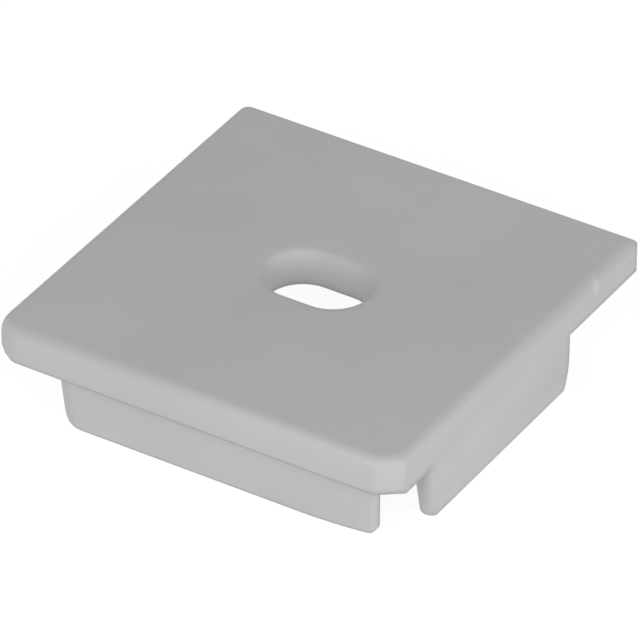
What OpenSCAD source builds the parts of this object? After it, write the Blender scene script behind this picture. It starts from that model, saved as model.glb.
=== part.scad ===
// Profile end cap: a square flange plate with a cable slot, and plug walls
// under it that push into the end of an extruded profile. One moulding.
// The cap stands on the lower edges of its plug walls; the plate is on top.
// X runs along the front edge, Y from front to back, Z up. Millimetres.

/* [Flange plate] */
// Side of the square plate, the same both ways
plate_side = 17; // [16:0.1:30]
// Thickness of the plate
plate_t = 1.5; // [1.2:0.1:3]
// Radius of the rounded upper rim of the plate
rim_r = 0.4; // [0.2:0.05:0.5]
// Length cut off the right front corner, along the front edge
cut_x = 0.93; // [0.5:0.01:1.5]
// Length cut off the right front corner, along the side edge
cut_y = 0.71; // [0.5:0.01:1.5]
// Radius that softens the upright edges of the right front and right back corners
crisp_r = 0.05; // [0.05:0.01:0.15]
// Length cut off the left front corner, along the front edge
left_cut_x = 0.78; // [0.6:0.01:1.5]
// Length cut off the left front corner, along the side edge
left_cut_y = 0.55; // [0.4:0.01:1.5]
// Radius of the upright edge between that cut and the front edge
left_front_r = 0.7; // [0.1:0.05:0.8]
// Radius of the upright edge between that cut and the left side
left_side_r = 0.1; // [0.05:0.01:0.3]
// Radius of the upright edge of the left back corner
back_r = 0.45; // [0.45:0.01:2]

/* [Cable slot] */
// Overall length of the slot, along X
slot_len = 4.2; // [3.6:0.1:8]
// Width of the slot, along Y
slot_w = 2.93; // [2:0.01:3.5]
// Radius of the rounded upper rim of the slot
slot_rim_r = 0.2; // [0.1:0.05:0.5]

/* [Plug] */
// Depth of the plug walls below the plate
plug_h = 2.56; // [1.5:0.01:6]

/* [Side walls] */
// Thickness of a side wall at the plate; its outer face is flush with the plate
side_t = 1.13; // [1:0.01:1.5]
// Depth below the plate at which the outer face starts to curve inwards
lead_from = 0.8; // [0:0.05:1.2]
// Radius of that long curve, which leads the plug in
lead_r = 7.9; // [7.5:0.1:60]
// Distance from the front of the plate to the corner of the right wall, at its foot
side_from = 2.71; // [2.2:0.01:4]
// How much farther back the left wall begins
left_back = 0.6; // [0:0.05:2]
// Distance from the front of the plate to the back end of both side walls
side_to = 12.14; // [9:0.01:14]
// Slant of the front end of a side wall, in degrees off the plate's front edge
end_slant = 30; // [25:1:35]
// Radius between the outer face and the slanted end
end_outer_r = 0.4; // [0.1:0.01:0.45]
// Radius between the slanted end and the inner face
end_inner_r = 0.9; // [0.2:0.01:0.9]
// Lean of the front end backwards on its way down, in degrees
end_lean = 11.7; // [0:0.1:12.5]
// Lean inwards of the outer round of that end, in degrees
corner_lean = 6; // [2:0.5:8]

/* [Front wall] */
// Thickness of the front wall
front_t = 0.5; // [0.5:0.01:1.2]
// Distance from the front of the plate to the outer face of the front wall
front_inset = 0.74; // [0.4:0.005:2]
// Distance from the left of the plate to the left end of the wall, under the plate
front_left = 1.91; // [1.4:0.01:4]
// Lean of the left end to the right on its way down, in degrees
front_lean = 7.6; // [1:0.1:10]
// Radius of the left end, seen from above
front_end_r = 0.8; // [0.6:0.05:1.5]
// Radius at the foot of the left end, seen from the front
front_foot_r = 1.2; // [0.2:0.05:1.4]
// Distance from the left of the plate to where the wall begins to bend inwards
bend_from = 12.5; // [9:0.1:13]
// Radius of that slight inward bend
bend_r = 19.2; // [17:0.1:60]
// Distance from the left of the plate to where the bend turns round the right end
nose_from = 15.37; // [14:0.01:15.6]
// Angle of the right end, in degrees off the plate's front edge
nose_angle = 80; // [60:1:88]
// Radius between the outer face and the right end
nose_r = 0.27; // [0.1:0.01:0.4]
// Radius at the foot of the right end, seen from the front
nose_foot_r = 0.35; // [0.1:0.05:0.6]

/* [Hidden] */
$fn = 96;
half = plate_side / 2;
// How far the walls run up into the plate, so that they are one with it
root = plate_t / 3;
// Overshoot of cuts and of shapes that only trim others
spare = plate_t;
far = 3 * plate_side;
// How far the outer round's own outline stands clear of the curved outer face
clear = plate_t / 25;

// Corner helpers for outlines drawn as points with a radius at each point.
function unit(v) = v / norm(v);
function inner_half(p, q, r) = acos(unit(p - q) * unit(r - q)) / 2;
function reach(p, q, r, rad) = rad / tan(inner_half(p, q, r));
function toward(p, q, d) = p + unit(q - p) * d;
function centre(p, q, r, rad) =
  q + unit(unit(p - q) + unit(r - q)) * rad / sin(inner_half(p, q, r));
function heading(v) = atan2(v[1], v[0]);

// Fills one corner of an outline with its round.
module round_corner(p, q, r, rad) {
  d = reach(p, q, r, rad);
  intersection() {
    polygon([toward(q, p, d), q, toward(q, r, d)]);
    translate(centre(p, q, r, rad))
      circle(r = rad);
  }
}

// An outline with a radius at each point; a radius of zero keeps it sharp.
module rounded(pts, rads) {
  n = len(pts);
  union() {
    polygon([
      for (i = [0:n - 1])
        let (
          p = pts[(i + n - 1) % n],
          q = pts[i],
          r = pts[(i + 1) % n],
          d = rads[i] > 0 ? reach(p, q, r, rads[i]) : 0
        )
          each (d > 0 ? [toward(q, p, d), toward(q, r, d)] : [q])
    ]);
    for (i = [0:n - 1])
      if (rads[i] > 0)
        round_corner(pts[(i + n - 1) % n], pts[i], pts[(i + 1) % n], rads[i]);
  }
}

// The plate outline, going round against the clock seen from above.
plate_pts = [
  [-half + left_cut_x, -half],
  [half - cut_x, -half],
  [half, -half + cut_y],
  [half, half],
  [-half, half],
  [-half, -half + left_cut_y]
];
plate_rads = [left_front_r, crisp_r, crisp_r, crisp_r, back_r, left_side_r];
function plate_pt(i) = plate_pts[(i + 6) % 6];
function is_soft(i) = i == 4;
function soft_centre(i) =
  centre(plate_pt(i - 1), plate_pt(i), plate_pt(i + 1), plate_rads[i]);

// Section of the rim: its outer upper corner is rounded.
module rim_section(width) {
  union() {
    square([width, plate_t - rim_r]);
    square([width - rim_r, plate_t]);
    intersection() {
      translate([width - rim_r, plate_t - rim_r])
        circle(r = rim_r);
      square([width, plate_t]);
    }
  }
}

// A wide bar with its rounded rim on the line from p to q.
module rim_bar(p, q) {
  translate([p[0], p[1], 0])
    rotate([0, 0, heading(q - p)])
      rotate([90, 0, 90])
        translate([0, 0, -far])
          linear_extrude(height = 2 * far)
            mirror([1, 0])
              translate([-far, 0])
                rim_section(far);
}

// The plate without its soft corners, where it is notched to their centres.
module plate_core() {
  intersection() {
    linear_extrude(height = plate_t)
      union() {
        polygon([
          for (i = [0:5])
            let (p = plate_pt(i - 1), q = plate_pt(i), r = plate_pt(i + 1), d = reach(p, q, r, plate_rads[i]))
              each (is_soft(i) ? [toward(q, p, d), soft_centre(i), toward(q, r, d)] : [toward(q, p, d), toward(q, r, d)])
        ]);
        for (i = [0:5])
          if (!is_soft(i))
            round_corner(plate_pt(i - 1), plate_pt(i), plate_pt(i + 1), plate_rads[i]);
      }
    rim_bar(plate_pt(0), plate_pt(1));
    rim_bar(plate_pt(1), plate_pt(2));
    rim_bar(plate_pt(2), plate_pt(3));
    rim_bar(plate_pt(3), plate_pt(4));
    rim_bar(plate_pt(4), plate_pt(5));
    rim_bar(plate_pt(5), plate_pt(0));
  }
}

// One soft corner, turned about its centre so the rim runs round it.
module soft_corner(i) {
  p = plate_pt(i - 1);
  q = plate_pt(i);
  r = plate_pt(i + 1);
  c = soft_centre(i);
  translate([c[0], c[1], 0])
    rotate([0, 0, heading(q - p) - 90])
      rotate_extrude(angle = 180 - 2 * inner_half(p, q, r))
        rim_section(plate_rads[i]);
}

module plate() {
  translate([0, 0, plug_h])
    union() {
      plate_core();
      for (i = [0:5])
        if (is_soft(i))
          soft_corner(i);
    }
}

// Half of the section across the slot: straight, flaring at the upper rim.
module slot_section() {
  union() {
    square([slot_w / 2, plate_t + 2 * spare]);
    translate([0, spare + plate_t - slot_rim_r])
      difference() {
        square([slot_w / 2 + slot_rim_r, slot_rim_r + spare]);
        translate([slot_w / 2 + slot_rim_r, 0])
          circle(r = slot_rim_r);
      }
  }
}

module slot_cut() {
  run = slot_len - slot_w;
  translate([0, 0, plug_h - spare])
    union() {
      translate([-run / 2, 0, 0])
        rotate([90, 0, 90])
          linear_extrude(height = run)
            union() {
              slot_section();
              mirror([1, 0])
                slot_section();
            }
      translate([run / 2, 0, 0])
        rotate([0, 0, -90])
          rotate_extrude(angle = 180)
            slot_section();
      translate([-run / 2, 0, 0])
        rotate([0, 0, 90])
          rotate_extrude(angle = 180)
            slot_section();
    }
}

// Section of a side wall: its outer face curves inwards on the way down.
module side_section() {
  lead_z = plug_h - lead_from;
  union() {
    translate([half - side_t, lead_z])
      square([side_t, lead_from + root]);
    intersection() {
      translate([half - side_t, 0])
        square([side_t, lead_z]);
      translate([half - lead_r, lead_z])
        circle(r = lead_r, $fn = 720);
    }
  }
}

// The foot of a side wall from above. Its front end is slanted, with a small
// round to the outer face and a large one to the inner face. Each has its own
// outline, since the two rounds lean differently.
module end_plan(from, outer_r, inner_r) {
  lead_z = plug_h - lead_from;
  foot = half - lead_r + sqrt(lead_r * lead_r - lead_z * lead_z);
  inner = half - side_t;
  rise = (foot - inner) * tan(end_slant);
  out = outer_r > 0 ? clear : spare;
  in = inner_r > 0 ? 0 : spare;
  rounded(
    [
      [foot + out, -half + from - out * tan(end_slant)],
      [foot + out, half],
      [inner - in, half],
      [inner - in, -half + from + rise + in * tan(end_slant)]
    ],
    [outer_r, 0, 0, inner_r]
  );
}

// Stands the outline up as a prism that leans, true to size at Z = 0.
module leaning(pivot, about_x, about_y) {
  translate([pivot[0], pivot[1], 0])
    rotate([about_x, about_y, 0])
      translate([-pivot[0], -pivot[1], -plug_h - half])
        linear_extrude(height = 3 * plug_h + plate_side)
          children();
}

module side_wall(from) {
  intersection() {
    translate([0, half - plate_side + side_to, 0])
      rotate([90, 0, 0])
        linear_extrude(height = side_to)
          side_section();
    leaning([half, -half + from], end_lean, corner_lean)
      end_plan(from, end_outer_r, 0);
    leaning([half, -half + from], end_lean, 0)
      end_plan(from, 0, end_inner_r);
  }
}

// The front wall from above: the bend runs on into the rounded right end,
// which goes back to the inner face nearly square.
bend_turn = asin((nose_from - bend_from) / bend_r);
bend_reach = bend_r * tan(bend_turn / 2);
nose_reach = nose_r * tan((nose_angle - bend_turn) / 2);
nose_pt = [
  -half + bend_from + bend_reach + (bend_reach + nose_reach) * cos(bend_turn),
  -half + front_inset + (bend_reach + nose_reach) * sin(bend_turn)
];
front_back = -half + front_inset + front_t;
tip_x = nose_pt[0] + (front_back - nose_pt[1]) / tan(nose_angle);

module front_plan() {
  rounded(
    [
      [-half, -half + front_inset],
      [-half + bend_from + bend_reach, -half + front_inset],
      nose_pt,
      [tip_x, front_back],
      [-half, front_back]
    ],
    [0, bend_r, nose_r, 0, 0]
  );
}

// The front wall from the front: only the two corners of its foot are rounded.
// Above the left round it stands clear of the leaning end.
foot_x = -half + front_left + plug_h * tan(front_lean);
foot_reach = front_foot_r * tan((90 - front_lean) / 2);

module front_face() {
  rounded(
    [
      [foot_x - foot_reach * sin(front_lean), foot_reach * cos(front_lean)],
      [foot_x, 0],
      [tip_x, 0],
      [tip_x, plug_h + root],
      [-half, plug_h + root]
    ],
    [0, front_foot_r, nose_foot_r, 0, 0]
  );
}

module front_wall() {
  intersection() {
    linear_extrude(height = plug_h + root)
      front_plan();
    translate([0, front_back + spare, 0])
      rotate([90, 0, 0])
        linear_extrude(height = front_t + 2 * spare)
          front_face();
    leaning([foot_x, -half], 0, -front_lean)
      rounded(
        [
          [foot_x, -half + front_inset],
          [half, -half + front_inset],
          [half, half],
          [foot_x, half]
        ],
        [front_end_r, 0, 0, 0]
      );
  }
}

module end_cap() {
  color([0.62, 0.62, 0.62])
    difference() {
      union() {
        plate();
        side_wall(side_from);
        mirror([1, 0, 0])
          side_wall(side_from + left_back);
        front_wall();
      }
      slot_cut();
    }
}

end_cap();
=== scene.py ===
from math import cos, radians, sin

import bmesh
import bpy
from mathutils import Matrix, Vector


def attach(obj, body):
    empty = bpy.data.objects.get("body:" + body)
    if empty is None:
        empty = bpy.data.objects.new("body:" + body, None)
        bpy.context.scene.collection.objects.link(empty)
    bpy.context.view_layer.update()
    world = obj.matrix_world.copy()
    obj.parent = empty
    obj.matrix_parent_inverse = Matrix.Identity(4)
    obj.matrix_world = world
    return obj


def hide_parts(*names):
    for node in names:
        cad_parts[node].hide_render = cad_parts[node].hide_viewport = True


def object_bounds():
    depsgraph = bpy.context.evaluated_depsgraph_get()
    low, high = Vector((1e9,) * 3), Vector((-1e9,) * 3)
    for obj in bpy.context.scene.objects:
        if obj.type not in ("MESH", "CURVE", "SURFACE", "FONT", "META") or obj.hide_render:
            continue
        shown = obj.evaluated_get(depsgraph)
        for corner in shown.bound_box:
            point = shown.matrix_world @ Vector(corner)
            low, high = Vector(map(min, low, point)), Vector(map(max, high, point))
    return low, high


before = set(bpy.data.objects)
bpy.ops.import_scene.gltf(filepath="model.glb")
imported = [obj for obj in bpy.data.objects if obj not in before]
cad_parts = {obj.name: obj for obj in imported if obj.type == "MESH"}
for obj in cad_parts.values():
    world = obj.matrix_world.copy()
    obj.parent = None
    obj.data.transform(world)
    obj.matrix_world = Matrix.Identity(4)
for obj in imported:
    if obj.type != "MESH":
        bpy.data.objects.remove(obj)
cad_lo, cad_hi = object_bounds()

scene = bpy.context.scene

# --- End cap --------------------------------------------------------------
# The whole part, one injection moulding in mid-grey plastic: a square plate with
# its oblong cable slot, and the plug walls below. Its edges are soft, and its skin
# has the fine grain of an eroded mould.
merge_gap = 1e-6
same_plane = radians(0.6)
cap = bpy.data.objects.new("cap", bpy.data.meshes.new("cap"))
scene.collection.objects.link(cap)
shape = bmesh.new()
shape.from_mesh(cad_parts["end_cap"].data)
bmesh.ops.remove_doubles(shape, verts=shape.verts, dist=merge_gap)

# The left front corner is rounder than the solid's. It swells a little at the
# side, less so towards the plate's top, and nine shallow flats round it off.
swell = 0.00003
swell_reach = 0.0006
swell_middle = Vector((-0.00848, -0.00796))
swell_way = Vector((-0.851, -0.525))
swell_ends_at = 0.004
swell_fades_over = 0.00035
corner_flats = (
    ((-0.8560, -0.5090, 0.0903), 0.0116379),
    ((-0.8800, -0.4297, 0.2026), 0.0116034),
    ((-0.8868, -0.3420, 0.3110), 0.0113592),
    ((-0.8763, -0.2477, 0.4133), 0.0109101),
    ((-0.8487, -0.1486, 0.5076), 0.0102650),
    ((-0.8109, -0.0595, 0.5821), 0.0095495),
    ((-0.7959, -0.6018, -0.0664), 0.0113776),
    ((-0.7421, -0.6496, -0.1652), 0.0110252),
    ((-0.6773, -0.6877, -0.2614), 0.0105158),
)
for point in shape.verts:
    near = 1 - ((point.co.xy - swell_middle).length / swell_reach) ** 2
    if near > 0:
        low = min(1, (swell_ends_at - point.co.z) / swell_fades_over)
        point.co.xy += swell_way * swell * near**2 * max(low, 0)
        point.co.x = max(point.co.x, cad_lo[0])
for facing, from_middle in corner_flats:
    facing = Vector(facing).normalized()
    cut = bmesh.ops.bisect_plane(
        shape,
        geom=shape.verts[:] + shape.edges[:] + shape.faces[:],
        dist=1e-7,
        plane_co=facing * from_middle,
        plane_no=facing,
        clear_outer=True,
    )
    rim = [part for part in cut["geom_cut"] if isinstance(part, bmesh.types.BMEdge)]
    bmesh.ops.edgenet_fill(shape, edges=rim)
bmesh.ops.recalc_face_normals(shape, faces=shape.faces)
bmesh.ops.dissolve_limit(
    shape, angle_limit=same_plane, verts=shape.verts, edges=shape.edges
)
shape.to_mesh(cap.data)
shape.free()
cap.data.shade_smooth()

# A hair's bevel on the sharp edges, which keeps the faces beside them shaded flat.
edge_round = 0.00006
broken_edges = cap.modifiers.new("broken edges", "BEVEL")
broken_edges.width = edge_round
broken_edges.segments = 2
broken_edges.limit_method = "ANGLE"
broken_edges.angle_limit = radians(32)
broken_edges.harden_normals = True

# The plastic: a faint cloudiness in its grey.
darker_grey = (0.435, 0.436, 0.437, 1)
lighter_grey = (0.465, 0.466, 0.467, 1)
grey = bpy.data.materials.new("grey plastic")
grey.use_nodes = True
nodes, links = grey.node_tree.nodes, grey.node_tree.links
skin = nodes["Principled BSDF"]
skin.inputs["Specular IOR Level"].default_value = 0.4
place = nodes.new("ShaderNodeTexCoord")
cloud = nodes.new("ShaderNodeTexNoise")
cloud.inputs["Scale"].default_value = 140.0
cloud.inputs["Detail"].default_value = 3.0
links.new(place.outputs["Object"], cloud.inputs["Vector"])
tint = nodes.new("ShaderNodeValToRGB")
tint.color_ramp.elements[0].position = 0.3
tint.color_ramp.elements[0].color = darker_grey
tint.color_ramp.elements[1].position = 0.7
tint.color_ramp.elements[1].color = lighter_grey
links.new(cloud.outputs["Fac"], tint.inputs["Fac"])

# The mould's fine grain, in the sheen and in the relief.
grain_depth = 0.00001
grain = nodes.new("ShaderNodeTexNoise")
grain.inputs["Scale"].default_value = 9000.0
grain.inputs["Detail"].default_value = 2.0
links.new(place.outputs["Object"], grain.inputs["Vector"])
sheen = nodes.new("ShaderNodeMapRange")
sheen.inputs["To Min"].default_value = 0.5
sheen.inputs["To Max"].default_value = 0.62
links.new(grain.outputs["Fac"], sheen.inputs["Value"])
links.new(sheen.outputs["Result"], skin.inputs["Roughness"])
grain_relief = nodes.new("ShaderNodeBump")
grain_relief.inputs["Strength"].default_value = 0.25
grain_relief.inputs["Distance"].default_value = grain_depth
links.new(grain.outputs["Fac"], grain_relief.inputs["Height"])
links.new(grain_relief.outputs["Normal"], skin.inputs["Normal"])

# The gate's trimmed stub on the plate's right side: a slight relief, with a painted
# highlight over it, a paler grey that stands in for the light on that relief.
stub_place = (0.0085, 0.00552, 0.0037)
stub_reach = (0.0006, 0.0003, 0.0006)
stub_highlight_grey = (0.53, 0.53, 0.53, 1)
stub_height = 0.00005
gate = nodes.new("ShaderNodeMapping")
gate.vector_type = "TEXTURE"
gate.inputs["Location"].default_value = stub_place
gate.inputs["Scale"].default_value = stub_reach
links.new(place.outputs["Object"], gate.inputs["Vector"])
stub = nodes.new("ShaderNodeTexGradient")
stub.gradient_type = "SPHERICAL"
links.new(gate.outputs["Vector"], stub.inputs["Vector"])
# Painted highlight: the paler grey is mixed into the base colour over the stub.
stub_painted_highlight = nodes.new("ShaderNodeMix")
stub_painted_highlight.data_type = "RGBA"
stub_painted_highlight.inputs[7].default_value = stub_highlight_grey
links.new(stub.outputs["Fac"], stub_painted_highlight.inputs[0])
links.new(tint.outputs["Color"], stub_painted_highlight.inputs[6])
links.new(stub_painted_highlight.outputs[2], skin.inputs["Base Color"])
stub_relief = nodes.new("ShaderNodeBump")
stub_relief.inputs["Strength"].default_value = 0.6
stub_relief.inputs["Distance"].default_value = stub_height
links.new(stub.outputs["Fac"], stub_relief.inputs["Height"])
links.new(stub_relief.outputs["Normal"], grain_relief.inputs["Normal"])

# Soft edges, rounder at the right side and at the slot's mouth than elsewhere.
usual_round, wide_round = 0.00018, 0.00045
right_side = nodes.new("ShaderNodeSeparateXYZ")
links.new(place.outputs["Object"], right_side.inputs["Vector"])
side_round = nodes.new("ShaderNodeMapRange")
side_round.inputs["From Min"].default_value = 0.0068
side_round.inputs["From Max"].default_value = 0.0085
side_round.inputs["To Min"].default_value = usual_round
side_round.inputs["To Max"].default_value = wide_round
links.new(right_side.outputs["X"], side_round.inputs["Value"])
mouth = nodes.new("ShaderNodeMapping")
mouth.vector_type = "TEXTURE"
mouth.inputs["Location"].default_value = (0, 0, 0.0042)
mouth.inputs["Scale"].default_value = (0.0045, 0.0035, 0.003)
links.new(place.outputs["Object"], mouth.inputs["Vector"])
near_mouth = nodes.new("ShaderNodeTexGradient")
near_mouth.gradient_type = "SPHERICAL"
links.new(mouth.outputs["Vector"], near_mouth.inputs["Vector"])
mouth_round = nodes.new("ShaderNodeMapRange")
mouth_round.inputs["From Max"].default_value = 0.3
mouth_round.inputs["To Min"].default_value = usual_round
mouth_round.inputs["To Max"].default_value = wide_round
links.new(near_mouth.outputs["Fac"], mouth_round.inputs["Value"])
widest_round = nodes.new("ShaderNodeMath")
widest_round.operation = "MAXIMUM"
links.new(side_round.outputs["Result"], widest_round.inputs[0])
links.new(mouth_round.outputs["Result"], widest_round.inputs[1])
soft_edges = nodes.new("ShaderNodeBevel")
soft_edges.samples = 8
links.new(widest_round.outputs["Value"], soft_edges.inputs["Radius"])
links.new(soft_edges.outputs["Normal"], stub_relief.inputs["Normal"])

cap.data.materials.append(grey)
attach(cap, "root")
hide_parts("end_cap")

# --- Floor ----------------------------------------------------------------
# A plain white sheet, white where the camera sees it, with the soft shadow round
# the foot of the walls. It lies a hair below their feet, never in one plane with
# them.
floor_side = 2.0
floor_level = -0.00001
floor = bpy.data.objects.new("floor", bpy.data.meshes.new("floor"))
scene.collection.objects.link(floor)
far = floor_side / 2
corners = ((-far, -far), (far, -far), (far, far), (-far, far))
floor.data.from_pydata([(x, y, floor_level) for x, y in corners], [], [(0, 1, 2, 3)])
sheet = bpy.data.materials.new("white sheet")
sheet.use_nodes = True
nodes, links = sheet.node_tree.nodes, sheet.node_tree.links
nodes.remove(nodes["Principled BSDF"])
paper = nodes.new("ShaderNodeBsdfDiffuse")
paper.inputs["Color"].default_value = (0.15, 0.15, 0.15, 1)
glow = nodes.new("ShaderNodeEmission")
glow.inputs["Strength"].default_value = 0.66
bright = nodes.new("ShaderNodeEmission")
bright.inputs["Strength"].default_value = 0.9
as_lit = nodes.new("ShaderNodeAddShader")
links.new(paper.outputs[0], as_lit.inputs[0])
links.new(glow.outputs[0], as_lit.inputs[1])
as_seen = nodes.new("ShaderNodeAddShader")
links.new(paper.outputs[0], as_seen.inputs[0])
links.new(bright.outputs[0], as_seen.inputs[1])


def camera_rays(nodes, links):
    """The rays that show the background: straight, mirrored or through glass."""
    path = nodes.new("ShaderNodeLightPath")
    with_gloss = nodes.new("ShaderNodeMath")
    with_gloss.operation = "MAXIMUM"
    links.new(path.outputs["Is Camera Ray"], with_gloss.inputs[0])
    links.new(path.outputs["Is Glossy Ray"], with_gloss.inputs[1])
    with_glass = nodes.new("ShaderNodeMath")
    with_glass.operation = "MAXIMUM"
    links.new(with_gloss.outputs[0], with_glass.inputs[0])
    links.new(path.outputs["Is Transmission Ray"], with_glass.inputs[1])
    return with_glass.outputs[0]


sheet_face = nodes.new("ShaderNodeMixShader")
links.new(camera_rays(nodes, links), sheet_face.inputs["Fac"])
links.new(as_lit.outputs[0], sheet_face.inputs[1])
links.new(as_seen.outputs[0], sheet_face.inputs[2])
links.new(sheet_face.outputs[0], nodes["Material Output"].inputs["Surface"])
floor.data.materials.append(sheet)

# --- Light ----------------------------------------------------------------
# Even light from all round, and three wide soft lamps at the right and the
# front, which make the upright faces a little lighter than the plate's top.
world = bpy.data.worlds.new("white room")
scene.world = world
world.use_nodes = True
nodes, links = world.node_tree.nodes, world.node_tree.links
room = nodes["Background"]
way_out = nodes.new("ShaderNodeTexCoord")
height = nodes.new("ShaderNodeSeparateXYZ")
links.new(way_out.outputs["Generated"], height.inputs["Vector"])
tent = nodes.new("ShaderNodeValToRGB")
tent.color_ramp.elements.new(0.65)
tent.color_ramp.elements.new(0.85)
bands = ((0.3, 0.53), (0.4, 0.98), (0.7, 0.98), (0.8, 0.12))
for stop, (band_height, band_light) in zip(tent.color_ramp.elements, bands):
    stop.position = band_height
    stop.color = (band_light, band_light, band_light, 1)
links.new(height.outputs["Z"], tent.inputs["Fac"])
links.new(tent.outputs["Color"], room.inputs["Color"])
white = nodes.new("ShaderNodeBackground")
white.inputs["Color"].default_value = (1, 1, 1, 1)
white.inputs["Strength"].default_value = 1.0
surroundings = nodes.new("ShaderNodeMixShader")
links.new(camera_rays(nodes, links), surroundings.inputs["Fac"])
links.new(room.outputs[0], surroundings.inputs[1])
links.new(white.outputs[0], surroundings.inputs[2])
links.new(surroundings.outputs[0], nodes["World Output"].inputs["Surface"])

lamp_distance = 0.42
lamp_width, lamp_height = 0.35, 0.16
for name, power, lamp_way in (
    ("right lamp", 0.5, (1.0, -0.2, 0.3)),
    ("low front lamp", 0.38, (0.2, -1.0, 0.3)),
    ("high front lamp", 0.345, (0.25, -1.0, 0.85)),
):
    lamp = bpy.data.objects.new(name, bpy.data.lights.new(name, "AREA"))
    scene.collection.objects.link(lamp)
    lamp.data.shape = "RECTANGLE"
    lamp.data.size = lamp_width
    lamp.data.size_y = lamp_height
    lamp.data.energy = power
    lamp_way = Vector(lamp_way).normalized()
    lamp.location = lamp_way * lamp_distance
    lamp.rotation_mode = "QUATERNION"
    lamp.rotation_quaternion = (-lamp_way).to_track_quat("-Z", "Y")

# --- Camera ---------------------------------------------------------------
# Above the near right corner, far off, with a long lens. It looks at the middle
# of the plate's underside, which lies a little off the picture's middle.
turn, rise, tilt = radians(31.651), radians(35.112), radians(0.246)
looked_at = Vector((0, 0, 0.00256))
eye_distance, to_right, down = 0.295316, 0.0000805, 0.0002747
back = Vector((sin(turn) * cos(rise), -cos(turn) * cos(rise), sin(rise)))
level = (-back).cross(Vector((0, 0, 1))).normalized()
upright = level.cross(-back)
across = cos(tilt) * level + sin(tilt) * upright
up = cos(tilt) * upright - sin(tilt) * level
camera = bpy.data.objects.new("camera", bpy.data.cameras.new("camera"))
scene.collection.objects.link(camera)
camera.data.sensor_width = 36.0
camera.data.lens = 456.59
camera.data.clip_start = 0.01
camera.data.clip_end = 10.0
eye = looked_at + to_right * across - down * up + eye_distance * back
looking = Matrix((across, up, back)).transposed().to_4x4()
camera.matrix_world = Matrix.Translation(eye) @ looking
scene.camera = camera

scene.view_settings.view_transform = "Standard"
